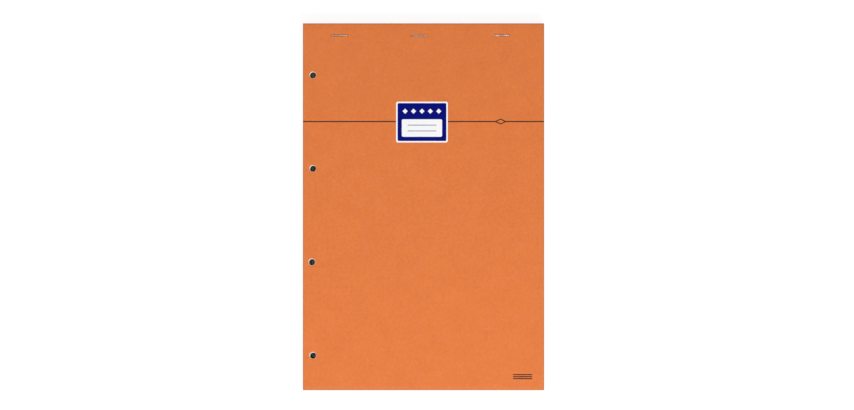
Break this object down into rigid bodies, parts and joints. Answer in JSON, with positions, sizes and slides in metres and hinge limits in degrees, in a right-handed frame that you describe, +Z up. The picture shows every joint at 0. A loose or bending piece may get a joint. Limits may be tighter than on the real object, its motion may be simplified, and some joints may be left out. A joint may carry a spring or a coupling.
{
  "type": "legal pad",
  "caption": "Head-stapled writing pad: a block of ruled sheets on a stiff board in a wrapped orange card, with a folding front cover and binder holes down the left edge.",
  "frame": {"origin": "middle of the back face, which the pad lies on", "axes": "+Z up out of the front cover, +Y to the stapled head, +X to the reader's right, so the binder holes are along -X"},
  "size_m": [0.2064, 0.314, 0.0102],
  "materials": {
    "orange_card": "matte",
    "white_paper": "matte",
    "greyboard": "matte",
    "staple_wire": "satin",
    "white_print": "satin",
    "blue_print": "satin",
    "dark_print": "satin"
  },
  "bodies": {
    "pad": {"card_wrap": "orange_card", "page_block": "white_paper", "backing_board": "greyboard", "staple_left": "staple_wire", "staple_middle": "staple_wire", "staple_right": "staple_wire"},
    "cover": {"front_cover": "orange_card", "label_ground": "white_print", "label_blue": "blue_print", "cover_line": "dark_print", "corner_mark": "dark_print"}
  },
  "joints": [
    {"name": "cover_hinge", "type": "hinge", "parent": "pad", "child": "cover", "pos_m": [0, 0.1415, 0.0098], "axis": [-1, 0, 0], "range_deg": [0, 174]}
  ]
}
